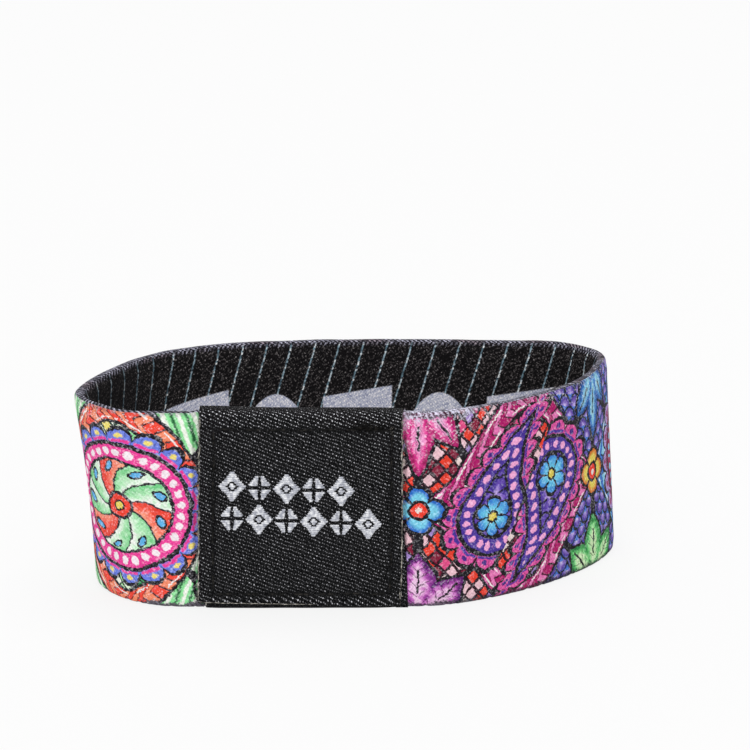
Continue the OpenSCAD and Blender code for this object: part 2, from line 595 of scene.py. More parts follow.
def lay_ribbons(colour, at, ribbon):
    """The ribbons' own colours, in chevrons. Ribbon is how far off their middle line a place is."""
    colour = paint(colour, INK, inside(ribbon, 1.6))
    cloth = choose(at.tint, "b8146c", "2f78d8", "f03a24", "4a2c94", "fb4a36")
    trim = choose(at.tint, "f07abc", "8fd4f4", "f8a040", "a88ae0", "ff9068")
    chevron = part(at.across / 1.9 - ribbon * 0.55)
    cloth = paint(cloth, trim, inside(abs(chevron - 0.5), 0.2, 0.05))
    cloth = paint(cloth, INK, inside(abs(abs(chevron - 0.5) - 0.24), 0.04, 0.03))
    dashes = inside(abs(ribbon - 0.82), 0.09, 0.05) * above(part(at.across / 3.8), 0.42)
    cloth = paint(cloth, "fbf4f2", dashes)
    return paint(colour, cloth, inside(ribbon, 1.16))


def drop_flower(heart, at, dx, dy):
    """A five-lobed flower in the head of a drop. Dx and dy are from the head's middle."""
    lobe = part(angle(dy, dx) * (6.0 / TURN)) - 0.5
    reach = root(most(1.0 - lobe * lobe * 4.0, 0.0)) * 0.75 + 1.25
    share = length(dx, dy) / reach
    heart = paint(heart, INK, above(1.2, share))
    inward = 1.0 - share + at.facet * 0.3
    bloom = paint(grade(inward, "3a86e0", "6fd4f6", "d0f6ff"),
                  grade(inward, "e8308f", "ff8fd0", "ffe0f0"), above(at.tint, 0.3))
    heart = paint(heart, bloom, above(1.0, share) * above(0.41, abs(lobe)))
    heart = paint(heart, INK, above(0.36, share))
    return paint(heart, "f0dc60", above(0.24, share))


def wheel_blades(at, turned, out):
    """The turning blades in a wheel, by the turn round its middle and the distance out from it."""
    turns = turned * 9.0 + out * 0.22
    blade = part(turns)
    toned = blade + at.facet * 0.36
    pale = grade(toned, "7fd8f4", "3f8fe0", "5a3aa0")
    pale = paint(pale, grade(toned, "ffa284", "ff5a44", "ee3c2c"), above(at.tint, 0.8))
    bold = grade(toned, "ffc4e6", "e8308f", "9c1052")
    bold = paint(bold, grade(toned, "fcfff8", "baf4c0", "74d488"), above(at.tint, 0.7))
    third = 1 / 3
    spokes = paint(pale, bold, above(part(turns * third), third))
    spokes = paint(spokes, INK, inside(least(blade, 1.0 - blade) * out, 0.16))
    seed = length((blade - 0.5) * out * 0.7, out - 4.3)
    spokes = paint(spokes, INK, above(0.62, seed))
    seeds = choose(at.tint, "f0dc60", "f0dc60", "f6d0e0", "f0dc60", "5fb8f0")
    spokes = paint(spokes, seeds, above(0.40, seed))
    for code, reach in ((INK, 1.55), ("f8402a", 1.2), (INK, 0.62), ("f0dc60", 0.4)):
        spokes = paint(spokes, code, above(reach, out))
    return spokes


def lay_drops_and_wheels(colour, at):
    """A pair of curled drops in some blocks and a wheel in the others, each with a lobed fringe, a ring of
    beads and a heart."""
    bx, by = at.across / 1.18, at.up / 1.18
    flip = 1.0 - above(bx, by * 0.5) * 2.0
    dx, dy = bx * flip + 4.0, by * flip + 1.6
    depth, run = teardrop(dx, dy, 4.1, 10.6, 5.2)
    out = length(bx, by)
    turned = angle(by, bx) / TURN
    depth = swap(depth, 6.9 - out, at.wheel)
    run = swap(run, turned * (LOBE * 19), at.wheel)

    fringe = scallops(run, LOBE, 1.5) + 0.1
    outer = choose(at.tint, "ec58aa", "b9a0e0", "f0dc60", "ff5cb8", "6d84ea")
    ring = choose(at.tint, "4e34a0", "9c1052", "1c4f9a", "9c1052", "f43a9c")
    beads = choose(at.tint, "ffb0e0", "7fd8f4", "a8f0a0", "f6d0e0", "fdf0f6")
    colour = paint(colour, INK, above(depth + fringe, -0.5))
    rays = inside(abs(part(run / 0.42) - 0.5), 0.08, 0.05) * between(depth, -1.6, -0.7, 0.2)
    colour = paint(colour, paint(outer, "3c0c3a", rays * 0.5), above(depth + fringe, 0.0))
    colour = paint(colour, ring, inside(abs(depth + 0.45), 0.16) * above(fringe, 0.9))
    dot = (part(run / LOBE) - 0.5) * LOBE
    spot = choose(at.tint, "4a2a8a", "9c1052", "1c4f9a", "f0dc60", "f6e070")
    colour = paint(colour, spot, inside(length(dot, depth + 1.0), 0.28))
    seam = inside(abs(bx - by * 0.5), 0.36) * above(depth + fringe, -0.35)
    colour = paint(colour, INK, seam * (1.0 - at.wheel))

    colour = paint(colour, INK, above(depth, -0.25))
    colour = paint(colour, ring, above(depth, 0.2))
    bead = (part(run / 1.3) - 0.5) * 1.3
    colour = paint(colour, beads, inside(length(bead, depth - 0.92), 0.42))
    colour = paint(colour, INK, above(depth, 1.6))
    mellow = rise(depth, 1.8, 4.2) + at.facet * 0.4
    heart = paint(grade(mellow, "46309a", "7a5ac8", "b9a0e0", "e0d4f4"),
                  grade(mellow, "9c1052", "e8308f", "ff8fd0", "ffc4e6"), above(at.tint, 0.6))
    ribs = abs(part(run / 1.5) - 0.5) * 1.5
    heart = paint(heart, INK, inside(ribs, 0.13) * between(depth, 1.9, 2.9))
    heart = drop_flower(heart, at, dx, dy)
    heart = paint(heart, wheel_blades(at, turned, out), at.wheel)
    return paint(colour, heart, above(depth, 1.92))


def lay_knots(colour, at):
    """A small four-leaved knot on each crossing."""
    sx = BLOCK / 2 - at.far
    out = length(sx, at.high)
    lobe = abs(cosine(angle(at.high, sx) * 2.0))
    knot = lobe + 1.9 - out
    colour = paint(colour, INK, above(knot, -0.5))
    petal = choose(at.seam_tint, "7fd8f4", "f0dc60", "ff8fd0", "7fd98a", "f0dc60", "ff8fd0")
    shade = choose(at.seam_tint, "2a6fd0", "e07a20", "c01f70", "1f7a3a", "e07a20", "c01f70")
    petal = paint(shade, petal, rise(knot, 0.1, 0.9))
    petal = paint(petal, INK, above(0.22, lobe) * above(out, 1.4))
    colour = paint(colour, petal, above(knot, 0.0))
    for code, reach in ((INK, 1.35), ("f8402a", 0.95), ("f6e6e0", 0.4)):
        colour = paint(colour, code, above(reach, out))
    return colour


def printed_art(along, up):
    """The whole print's colour at a place on the webbing."""
    at = print_place(along, up)
    off = ribbon_distance(at)
    within, outside = print_spaces(at)
    colour = paint(within, outside, above(off, 0.0))
    colour = lay_blooms(colour, at)
    colour = lay_ribbons(colour, at, abs(off))
    colour = lay_drops_and_wheels(colour, at)
    return lay_knots(colour, at)


# Shared weaves


def new_group(name, inputs, outputs, build):
    """A node group with these inputs and outputs, by name and kind. Build gets the inputs' Values and gives
    the outputs' Values."""
    group = bpy.data.node_groups.new(name, "ShaderNodeTree")
    for side, sockets in (("INPUT", inputs), ("OUTPUT", outputs)):
        for socket, kind in sockets.items():
            group.interface.new_socket(socket, in_out=side, socket_type="NodeSocket" + kind)
    entry = group.nodes.new("NodeGroupInput")
    ending = group.nodes.new("NodeGroupOutput")
    given = build(group, *[Value(group, entry.outputs[socket]) for socket in inputs])
    for socket, value in zip(outputs, given):
        group.links.new(value.socket, ending.inputs[socket])
    return group


def use_group(tree, group, inputs):
    """Places a group and gives its outputs' Values."""
    node = node_value(tree, "ShaderNodeGroup", inputs, node_tree=group).socket.node
    return [Value(tree, socket) for socket in node.outputs]


def build_grains(tree, along, up, fine):
    """The crossed yarns of printed webbing, seen as small grains: how light a place is, and the few
    lightest grains alone."""
    sway = (cloud(spot_of(along, up, 8.0), 1.6, 1.0) - 0.5) * 0.5
    row, seat = (along + up * 0.9 + sway) * fine, (along - up * 0.9 + sway) * fine
    body = rise(0.62 - length(part(row) - 0.5, part(seat) - 0.5), 0.0, 0.34)
    thread = random_at(spot_of(whole(row), whole(seat), 4.0))
    fibre = random_at(spot_of(whole(row * 2.3), whole(seat * 2.3), 5.0))
    light = body * (thread * 0.4 + 0.15) + fibre * 0.45
    return light, rise(fibre + thread * 0.5, 0.85, 1.3) * (body * 0.7 + 0.3)


def build_floats(tree, along, up):
    """Satin floats in rows that fall to the right: how far each stands up, and a number of its own."""
    wander = (cloud(spot_of(along, up, 1.0), 0.4, 1.0) - 0.5) * 0.6
    wander = wander + (cloud(spot_of(along, up, 12.0), 1.5, 1.0) - 0.5) * 0.55
    row = along * FLOAT_TURNS[0][0] + up * FLOAT_TURNS[0][1] + wander
    seat = along * FLOAT_TURNS[1][0] + up * FLOAT_TURNS[1][1] + wander
    row_off, seat_off = part(row) - 0.5, part(seat) - 0.5
    back = np.linalg.inv(FLOAT_TURNS).tolist()
    px = row_off * back[0][0] + seat_off * back[0][1]
    py = row_off * back[1][0] + seat_off * back[1][1]
    own = random_at(spot_of(whole(row), whole(seat), 3.0))
    sway = (random_at(spot_of(whole(row), whole(seat), 9.0)) - 0.5) * 0.19
    fall_across, fall_up = math.cos(FLOAT_FALL), math.sin(FLOAT_FALL)
    long_way = px * fall_across - py * fall_up + sway
    short_way = px * fall_up + py * fall_across + sway * 0.7
    every_other = part(whole(seat) * 0.5) * 2.0
    fibre = random_at(spot_of(whole(along * 9.0), whole(up * 9.0), 6.0))
    crest = rise(1.0 - length(long_way / FLOAT_REACH, short_way / FLOAT_WIDTH), 0.0, 0.65)
    return crest * (1.0 - every_other * 0.7) * (fibre * 1.1 + 0.42), own


def build_selvage(tree, along, over):
    """The close turns of yarn over a woven edge: their colour and height. Over runs across the edge."""
    fuzz = cloud(spot_of(along, over, 2.0), 4.5, 1.0) - 0.5
    turn = along / 0.6 + over * 0.85 + fuzz * 0.8
    ridge = 1.0 - abs(part(turn) - 0.5) * 2.0
    own = random_at(spot_of(whole(turn), whole(over * 1.3), 5.0))
    light = rise(ridge + fuzz * 1.3, 0.4, 0.95) * (own * 0.85 + 0.15)
    worn = rise(cloud(spot_of(along, over, 6.0), 0.22, 1.0), 0.52, 0.66)
    colour = paint("17161d", paint("c8c6da", "a89aa6", worn), light)
    bleached = between(along, PAST_RIGHT, PAST_RIGHT + 10.0, 2.5)
    bleached = bleached * rise(own * 0.5 + fuzz * 1.5 + ridge * 0.3, 0.15, 0.8)
    return paint(colour, "dedcf0", bleached * 0.85), ridge


# Materials of the pieces


def printed_face(grains, selvage):
    """The printed outside, its inks broken up by the yarns, worn along the top and dark at the foot."""
    look, tree = new_look("printed_face", Roughness=0.8, Specular_IOR_Level=0.12)
    along, up = cloth_place(tree)
    light, spark = use_group(tree, grains, {"Along": along, "Up": up, "Fineness": 1.9})
    cell_x, cell_y = whole((along + up) * 3.4), whole((along - up) * 3.4)
    nudge = random_at(spot_of(cell_x, cell_y, 1.0)) - 0.5
    colour = printed_art(along + nudge * 0.15, up - nudge * 0.12)
    left_side = rise(along, LEFT_START, LEFT_START + 16.0)
    grit = random_at(spot_of(whole(along * 7.0), whole(up * 7.0), 3.0))
    colour = paint(colour, "cac6da", grit * grit * grit * (left_side * 0.06 + 0.04))
    stain = rise(cloud(spot_of(along, up, 9.0), 0.8, 3.0), 0.45, 0.75)
    colour = paint(colour, "000000", most(0.72 - light, 0.0) * (0.42 - left_side * 0.1) + stain * 0.06)

    # White yarn shows along the top edge, most of all just right of the label.
    high, low = above(up, MIDDLE_UP), above(MIDDLE_UP, up)
    rough = (cloud(spot_of(along, up, 2.0), 0.5) - 0.5) * 1.1 + (light - 0.5) * 0.6
    edge = abs(up - MIDDLE_UP) + rough
    worn = rise(edge, 9.8, 12.0) * high * 0.36
    washed = between(along, PAST_RIGHT, PAST_RIGHT + 8.0, 2.0) * rise(up, 18.0, 25.0) * 0.4
    colour = paint(colour, "f4f2f8", spark * (worn + washed + 0.22 + left_side * 0.1))
    colour = paint(colour, "e8e2f2", washed * rise(stain + light * 0.6, 0.3, 1.0))

    # The turned yarns of the two edges, wider where they are bare on both sides of the label.
    bare = between(along, PAST_RIGHT, PAST_RIGHT + 9.0, 2.0) * high
    bare = bare + between(along, PAST_LEFT - 9.0, PAST_LEFT, 1.5) * low
    rim = use_group(tree, selvage, {"Along": along, "Over": up})[0]
    rim = paint(rim, paint("1d1b22", "77707a", bare * (light * 0.8 + 0.2)), low * 0.85)
    narrower = low * (left_side * 0.47 - 0.20)
    reached = rise(edge + bare * 0.45 - narrower, 11.9, 12.3)
    colour = paint(colour, rim, reached * (low * 0.4 + 0.5 + bare * 0.4))
    return finish_look(look, colour, light, 0.06)


def woven_lining(grains, floats, selvage):
    """The black inside, with slanting pinstripes and a row of large pale shapes along the back, and painted
    shade towards its far end.
    """
    look, tree = new_look("woven_lining", Roughness=0.9, Specular_IOR_Level=0.08)
    along, up = cloth_place(tree)
    light, spark = use_group(tree, grains, {"Along": along, "Up": up, "Fineness": 2.4})
    crest, own = use_group(tree, floats, {"Along": along * 0.92, "Up": up * 0.92})
    # Painted shade: the specks dim towards the lining's far end.
    lining_far_shade = rise(along, LINING_FAR - 12.0, LINING_FAR)
    speck = crest * own * own * 0.42 + spark * spark * 0.28
    colour = paint("0a090b", "a8a0a0", speck * (1.0 - lining_far_shade * 0.6) + light * 0.015)
    slanted = (along + up * STRIPE_SLANT) / STRIPE_PITCH
    stripe = (part(slanted) - 0.5) * STRIPE_PITCH
    stretch = random_at(spot_of(whole(slanted), whole(up / 0.26), 8.0))
    line = inside(abs(stripe + (light - 0.5) * 0.12 + (stretch - 0.5) * 0.1), 0.09, 0.07)
    # Painted shade: the pinstripes dim towards the lining's far end too.
    stripe_far_shade = rise(along, LINING_FAR - 16.0, LINING_FAR) * 0.6
    colour = paint(colour, grade(stretch, "3a4a56", "6c8896", "a6bac6", "f2f6f8"), line * (0.95 - stripe_far_shade))
    # The pale shapes, woven with the same yarns: every other one has a round top.
    post = (along + 2.0) / SHAPE_PITCH
    round_top = part(whole(post) * 0.5) * 2.0
    swing = (part(post) - 0.5) * SHAPE_PITCH
    crown = swap(up - 18.4 + swing * 0.16, up - 18.2 + swing * swing * 0.22, round_top)
    ragged = (spark - light) * 0.12
    shape = inside(abs(swing) + ragged, 4.4, 0.1) * inside(crown + ragged, 0.0, 0.1) * above(up, 6.6)
    shape = shape * between(along, SHAPES_START, SHAPES_START + 5 * SHAPE_PITCH, 0.1)
    blotch = cloud(spot_of(along, up, 11.0), 2.4)
    tone = light * 0.45 + crest * 0.65 + blotch * 0.7 - 0.13
    colour = paint(colour, grade(tone, "60668a", "a8acc2", "e2e0e8", "faf6f4"), shape)
    rim = use_group(tree, selvage, {"Along": along, "Over": up})[0]
    edge = abs(up - MIDDLE_UP) + (light - 0.5) * 0.5
    colour = paint(colour, rim, rise(edge, 11.8, 12.2) * 0.7)
    return finish_look(look, colour, light, 0.06)


def selvage_edge(selvage):
    """The rim between the print and the lining."""
    look, tree = new_look("selvage_edge", Roughness=0.75, Specular_IOR_Level=0.12)
    along, over = cloth_place(tree)
    colour, ridge = use_group(tree, selvage, {"Along": along, "Over": over})
    return finish_look(look, colour, ridge, 0.12)


def label_weave(floats):
    """Black satin tape whose floats carry painted glints, with painted shade where the stitching presses and
    along the lowest turn.
    """
    look, tree = new_look("label_weave", Specular_IOR_Level=0.04)
    along, round_run = cloth_place(tree)
    crest, own = use_group(tree, floats, {"Along": along, "Up": round_run})
    spread = cloud(spot_of(along, round_run, 5.0), 0.25)
    # The stitched frame, measured from the middle of the top fold, down the front and the back.
    # Along it the glints get painted shade.
    down = abs(round_run - FOLD_RUN)
    frame_top, frame_foot = (FOLD_RUN - (level - LABEL_FOLD_ROUND) for level in (STITCHED.high, STITCHED.low))
    beside = most(STITCHED.left - along, along - STITCHED.right)
    beyond = most(frame_top - down, down - frame_foot)
    groove_shade = inside(abs(most(beside, beyond)), 0.3, 0.12)
    # The lowest turn shows up to the front's cut edge, which falls to the right. Painted shade lies on the
    # turn just before that edge, and a painted glint from the edge round the foot.
    foot_run = FOOT_RUN - (along / LABEL_WIDTH + 0.5) * 0.47
    groove_shade = most(groove_shade, above(foot_run, round_run) * above(round_run, FOOT_RUN - 2.5) * 1.15)
    glint = most(above(round_run, foot_run), inside(round_run, 0.5, 0.3))
    fold = between(down, 1.3, 3.0, 0.4)
    far_fold_shade = inside(down, 1.0, 0.4)
    # Painted glints: the floats' bright cores are painted in the colour, as the satin's glints in the light.
    painted_glints = crest * (own * own * 0.64 + 0.26) * (rise(spread, 0.2, 0.65) * 0.3 + 0.7)
    # Painted light: the glints grow lighter towards the top of the front.
    painted_glints = painted_glints * (rise(round_run, 5.0, 20.0) * 0.14 + 1.0)
    # Where the seam ends and its threads have come loose.
    loose = length((along - 8.3) / 2.4, (round_run - 22.1) / 0.6) + spread * 1.2
    painted_glints = painted_glints * (1.0 - inside(loose, 1.4, 0.4) * 0.45)
    # Painted shade dims the glints at the stitches, the lowest turn and the far side of the fold; a painted
    # glint lightens the foot.
    painted_glints = painted_glints * (1.0 - groove_shade * 0.8) * (1.0 - far_fold_shade * 0.4 + glint * 0.5)
    # Painted glints: the floats are painted brighter where the cloth bends over the fold.
    painted_glints = swap(painted_glints, painted_glints * (painted_glints + 0.03) * 8.0, fold)
    grit = random_at(spot_of(whole(along * 8.0), whole(round_run * 8.0), 4.0))
    # The ground's fine grit also gets painted shade on the far side of the fold.
    colour = paint("040405", "dedee4", least(painted_glints + grit * grit * (0.022 - far_fold_shade * 0.015), 1.0))
    return finish_look(look, colour, crest, 0.1, roughness=0.75 - crest * 0.3)


def thread_look(name, *codes, roughness, fine=2500.0, **sockets):
    """Yarn in a few near colours, mottled finely."""
    look, tree = new_look(name, Roughness=roughness, **sockets)
    place = node_value(tree, "ShaderNodeTexCoord", {}, "Object")
    tint = cloud(place, fine)
    return finish_look(look, grade(rise(tint, 0.3, 0.7), *codes), tint, 0.03, 0.6)


# The band


PRINTED, LINING, EDGE = 0, 1, 2
# Runs from the label's middle to the middles of two soft dips in the webbing, left of the label.
TOP_DIP, SIDE_DIP = -32, -29


def band_runs():
    """Runs round the loop, closer together where the webbing comes out past the label's sides."""
    fine, coarse, near = 0.1, 0.3, 1.2
    runs = []
    run = 0.0
    while run < LOOP_LENGTH - 1e-6:
        runs.append(run)
        run += fine if abs(abs(beside_label(run)) - LABEL_WIDTH / 2) < near else coarse
    return runs


def band_edges(across):
    """The heights of the webbing's foot and top, drawn in where the label winds round them."""
    half = LABEL_WIDTH / 2
    low = EDGE_DRAW_LOW * seat_share(across, LABEL_FOOT_INSET - half, half)
    low += 0.3 * bump_at(across, SIDE_DIP, 3.5)
    high = BAND_HEIGHT + 0.27 * bump_at(across, 0, 26)
    high -= EDGE_DRAW_HIGH * seat_share(across, LABEL_TOP_SHIFT - half, LABEL_TOP_SHIFT + half)
    high -= 0.4 * bump_at(across, TOP_DIP, 4)
    return low, high


def band_ring(run, points):
    """One section of the webbing: the wall's own outline, stood up, leaned and swayed."""
    place, outward, lean = on_loop(run)
    across = beside_label(run)
    half = LABEL_WIDTH / 2
    past_side = abs(across) - half
    low, high = band_edges(across)
    # The free webbing is a little uneven, and the stretch under the label is not.
    free = ramp((past_side - 0.5) / 2)
    wave = free * 0.09 * noise.noise(Vector((place[0] / 4, place[1] / 4, 5.0)))
    uneven = free * 0.22 * max(0.0, noise.noise(Vector((run * 1.2, 6.0, 2.0))))
    # The webbing swells next to the label, and its foot curls out under the short end of the panel.
    squeeze = 0.45 * ramp((past_side - 0.15) / 0.5) * bump_at(max(0.65, past_side), 0.65, 7)
    curl = 0.45 * ramp(min(across + half + 0.4, LABEL_FOOT_INSET - half - 0.1 - across) / 0.2)
    ring = []
    for depth, up, _ in points:
        share = up / BAND_HEIGHT
        stood = low + up * (high - low) / BAND_HEIGHT
        swell = free * 0.07 * noise.noise(Vector((place[0] / 7, place[1] / 7, up / 8)))
        cup = 0.38 * 4 * share * (1 - share) * bump_at(across, SIDE_DIP, 12)
        near_edge = ramp((abs(2 * share - 1) - 0.9) / 0.1)
        thin = 1 - (PRINT_THIN if depth > 0 else LINING_THIN) * near_edge
        away = depth * thin + lean * stood / BAND_HEIGHT + swell - cup
        away += max(squeeze, curl * max(0.0, 1 - up / 0.6))
        stood += uneven * max(0.0, 1 - up / 1.2) + wave * max(0.0, share - 0.9) * 10
        ring.append(to_frame(place[0] + outward[0] * away, place[1] + outward[1] * away, stood))
    return ring


def make_band(looks):
    """The loop of webbing, with its print, lining and edges as three looks."""
    points, round_runs = rounded_section(BAND_WALL / 2, BAND_HEIGHT, BAND_EDGE_ROUND, 1.0, 5)
    runs = band_runs()
    spots = [spot for run in runs for spot in band_ring(run, points)]
    size = len(points)
    ends = runs + [LOOP_LENGTH]
    # The edges' yarns are read from their own stretch of cloth.
    edge_start = 30
    faces, face_looks, coordinates = [], [], []
    for k, after, j, beyond in loft_faces(len(runs), size, True):
        faces.append((k * size + j, after * size + j, after * size + beyond, k * size + beyond))
        outward = (points[j][2][0] + points[beyond][2][0]) / 2
        face_looks.append(PRINTED if outward > 0.6 else LINING if outward < -0.8 else EDGE)
        a, b, low, high = ends[k], ends[k + 1], points[j][1], points[beyond][1]
        if face_looks[-1] == EDGE:
            low, high = edge_start + round_runs[j], edge_start + round_runs[j + 1]
        coordinates.append([(a, low), (b, low), (b, high), (a, high)])
    return add_piece("band_webbing", spots, faces, looks, face_looks, coordinates)


# The label


FRONT, BACK = 1, -1


def foot_line(across):
    """The height of the lower cut edge before the foot's fold is sharpened. It falls to the right."""
    return LABEL_FOOT_HEIGHT * (1.4 - 0.6 * (across / LABEL_WIDTH + 0.5))


def frame_line(across, up):
    """How far a place on the label is from the stitched frame, in mm."""
    beyond_across = max(STITCHED.left - across, across - STITCHED.right)
    beyond_up = max(STITCHED.low - up, up - STITCHED.high)
    if beyond_across > 0 and beyond_up > 0:
        return math.hypot(beyond_across, beyond_up)
    return abs(max(beyond_across, beyond_up))


def label_across(across, up):
    """Where a place on the label stands across, with the label askew on the band."""
    share = up / LABEL_HEIGHT
    low = max(0.0, 1 - 2 * share) * max(0.0, across / LABEL_WIDTH + 0.5)
    return across * (1 - LABEL_TOP_DRAW * share) + LABEL_TOP_SHIFT * share - LABEL_FOOT_DRAW * low * low


def label_up(across, up):
    """How high a place on the label stands: its top left corner is drawn up a little."""
    left, share = max(0.0, -2 * across / LABEL_WIDTH), up / LABEL_HEIGHT
    return up + 0.36 * left * left * share**4


def label_sink(across, up, facing):
    """How far the cloth lies under the label's full thickness, in mm: at its sides, at the stitches, where
    it is soft, and under the front's cut edge."""
    sink = 0.34 * bump_at(LABEL_WIDTH / 2 - abs(across), 0, 1.7)
    if abs(facing) > 0.5:
        pucker = 1 + 0.5 * noise.noise(Vector((across / 1.6, up / 1.6, facing)))
        sink += 0.2 * pucker * bump_at(frame_line(across, up), 0, 0.42)
        sink += 0.1 * (0.5 + noise.noise(Vector((across / 5, up / 5, 3 * facing))))
    if facing > 0.2 and up < foot_line(across):
        sink += 0.22
    return sink


def fold_draw(up):
    """How far the label's face falls back where it turns round a fold, in mm."""
    short = max(0.0, LABEL_FOLD_ROUND - min(up, LABEL_HEIGHT - up))
    return LABEL_FOLD_ROUND - math.sqrt(LABEL_FOLD_ROUND**2 - short**2)


def on_label(across, away, up):
    """A place on the label, away mm before the middle of the band's wall, with the label leaning."""
    return to_frame(label_across(across, up), -away - LABEL_LEAN * up / LABEL_HEIGHT, label_up(across, up))


def label_spot(across, up, side, lift):
    """A place just over the label's front or back, lift mm off the cloth."""
    away = side * (LABEL_HALF_DEPTH - label_sink(across, up, side) - 0.8 * fold_draw(up) + lift)
    return on_label(across, away, up)


def label_walls(columns, foot_start, points):
    """The wound tape's outer and inner wall, as rings of places, one ring a column."""
    thick = LABEL_HALF_DEPTH - LABEL_LINING_DEPTH
    shell, lining = [], []
    for across in columns:
        foot = LABEL_FOOT_HEIGHT if across < foot_start else 0.0
        for depth, up, normal in points:
            sink = label_sink(across, up, normal[0])
            # The front's lower fold is pressed sharp.
            sharp = 0.3 * max(0.0, -2 * normal[0] * normal[1])
            away, stood = depth - normal[0] * sink + sharp, up - normal[1] * sink * 0.3 - sharp
            shell.append(on_label(across, away, max(foot, stood)))
            away = min(LABEL_LINING_DEPTH, max(-LABEL_LINING_DEPTH, depth - normal[0] * thick))
            lining.append(on_label(across, away, max(foot, up - normal[1] * thick)))
    return shell, lining


def make_label(looks):
    """The tape wound round the band, closed at its two cut sides."""
    points, runs = rounded_section(LABEL_HALF_DEPTH, LABEL_HEIGHT, LABEL_FOLD_ROUND, 0.35, 7)
    half = LABEL_WIDTH / 2
    foot_start = LABEL_FOOT_INSET - half
    columns = sorted(list(np.linspace(-half, half, 91)) + [foot_start - 0.03, foot_start + 0.03])
    shell, lining = label_walls(columns, foot_start, points)
    size, count, inner = len(points), len(columns), len(shell)
    faces, coordinates, face_looks = [], [], []
    for k, after, j, beyond in loft_faces(count, size, False):
        ring = [(k, j), (after, j), (after, beyond), (k, beyond)]
        places = [(columns[k], runs[j]), (columns[after], runs[j]),
                  (columns[after], runs[j + 1]), (columns[k], runs[j + 1])]
        faces.append(tuple(r * size + p for r, p in ring))
        coordinates.append(places)
        faces.append(tuple(inner + r * size + p for r, p in reversed(ring)))
        coordinates.append(places[::-1])
        face_looks += [0, 0]
    # The cut sides, with three layers of tape showing in each.
    layers = 6
    side_start = len(shell) + len(lining)
    sides = []
    for ring, outward in ((0, -1), (count - 1, 1)):
        start = side_start + len(sides)
        for j in range(size):
            a, b = np.array(shell[ring * size + j]), np.array(lining[ring * size + j])
            for k in range(1, layers):
                spot = a + (b - a) * k / layers
                spot[0] += outward * 0.09 * (k % 2) * (0.7 + 0.5 * noise.noise(Vector((j / 3, k, outward))))
                sides.append(tuple(spot))
        for j in range(size):
            beyond = (j + 1) % size
            rows = [
                [ring * size + p] + [start + p * (layers - 1) + k for k in range(layers - 1)]
                + [inner + ring * size + p] for p in (j, beyond)
            ]
            for k in range(layers):
                face = [rows[0][k], rows[1][k], rows[1][k + 1], rows[0][k + 1]]
                faces.append(tuple(face if outward < 0 else reversed(face)))
                coordinates.append([(k * 0.1, runs[j])] * 4)
                face_looks.append(1)
    return add_piece("label_wrap", shell + lining + sides, faces, looks, face_looks, coordinates)


def make_tail(look):
    """The inner end of the tape, a thin wedge that shows past the right side at the foot."""
    side, low, top = LABEL_WIDTH / 2, 0.03, LABEL_HEIGHT / 2
    # How far the wedge starts in under the panel.
    tucked = 0.5
    rows, cols = 36, 8
    spots, faces = [], []
    for face_side, depth in ((FRONT, 1.34), (BACK, 0.98)):
        for j in range(rows + 1):
            up = low + (top - low) * j / rows
            reach = 0.88 * LIP_WIDTH * (1 - j / rows) + 0.05 * noise.noise(Vector((j / 2, 1, 2)))
            for k in range(cols + 1):
                across = side - tucked + (reach + tucked) * k / cols
                fray = 0.06 if k == cols and face_side == BACK else 0.0
                away = depth + 0.03 * noise.noise(Vector((across, up, 4)))
                spots.append(on_label(across - fray, away, up))
    layer = (rows + 1) * (cols + 1)
    for j in range(rows):
        for k in range(cols):
            a = j * (cols + 1) + k
            quad = (a, a + 1, a + cols + 2, a + cols + 1)
            faces.append(quad)
            faces.append(tuple(layer + p for p in reversed(quad)))
    border = list(range(cols + 1))
    border += [j * (cols + 1) + cols for j in range(1, rows + 1)]
    border += [rows * (cols + 1) + k for k in range(cols - 1, -1, -1)]
    border += [j * (cols + 1) for j in range(rows - 1, 0, -1)]
    for p, q in zip(border, border[1:] + border[:1]):
        faces.append((q, p, layer + p, layer + q))
    coordinates = [[(spots[p][0], spots[p][2]) for p in face] for face in faces]
    return add_piece("label_tail", spots, faces, [look], None, coordinates)


# Threads


def add_tube(spots, faces, line, widths, normal, ring=6, flat=1.0):
    """Adds a closed tube along a line of places. Widths are its radii, and flat is how thin it is along
    normal."""
    start = len(spots)
    count = len(line)
    for k, place in enumerate(line):
        before, after = line[max(0, k - 1)], line[min(count - 1, k + 1)]
        way = (Vector(after) - Vector(before)).normalized()
        side = way.cross(Vector(normal)).normalized()
        up = side.cross(way)
        for j in range(ring):
            turn = TURN * j / ring
            spot = Vector(place) + side * (widths[k] * math.cos(turn))
            spots.append(tuple(spot + up * (widths[k] * flat * math.sin(turn))))
    for k in range(count - 1):
        for j in range(ring):
            beyond = (j + 1) % ring
            a, b = start + k * ring, start + (k + 1) * ring
            faces.append((a + j, b + j, b + beyond, a + beyond))
    faces.append(tuple(start + j for j in range(ring)))
    faces.append(tuple(start + (count - 1) * ring + j for j in reversed(range(ring))))


def add_stitch(spots, faces, start, end, side, radius, lift, steps=9, fullness=4):
    """A stitch on the label between two (across, up) places, its ends going into the cloth. The fuller it
    is, the closer to its ends it stays up."""
    line, widths = [], []
    for k in range(steps):
        t = k / (steps - 1)
        across, up = start[0] + (end[0] - start[0]) * t, start[1] + (end[1] - start[1]) * t
        arch = 1 - (2 * t - 1) ** fullness
        line.append(label_spot(across, up, side, lift * arch - radius * 1.1 * (1 - arch)))
        widths.append(radius * (0.55 + 0.45 * arch))
    add_tube(spots, faces, line, widths, (0, -side, 0), 8, 0.75)


def add_hair(spots, faces, across, up, turn, reach, stand):
    """A loose fibre that lies on the label's front in a low arch."""
    radius, steps = 0.035, 6
    line = []
    for k in range(steps):
        t = k / (steps - 1)
        lift = 0.02 + stand * (1 - (2 * t - 1) ** 2)
        line.append(label_spot(
            across + math.cos(turn) * reach * t, up + math.sin(turn) * reach * t, FRONT, lift
        ))
    add_tube(spots, faces, line, [radius] * steps, (0, -1, 0), 4)


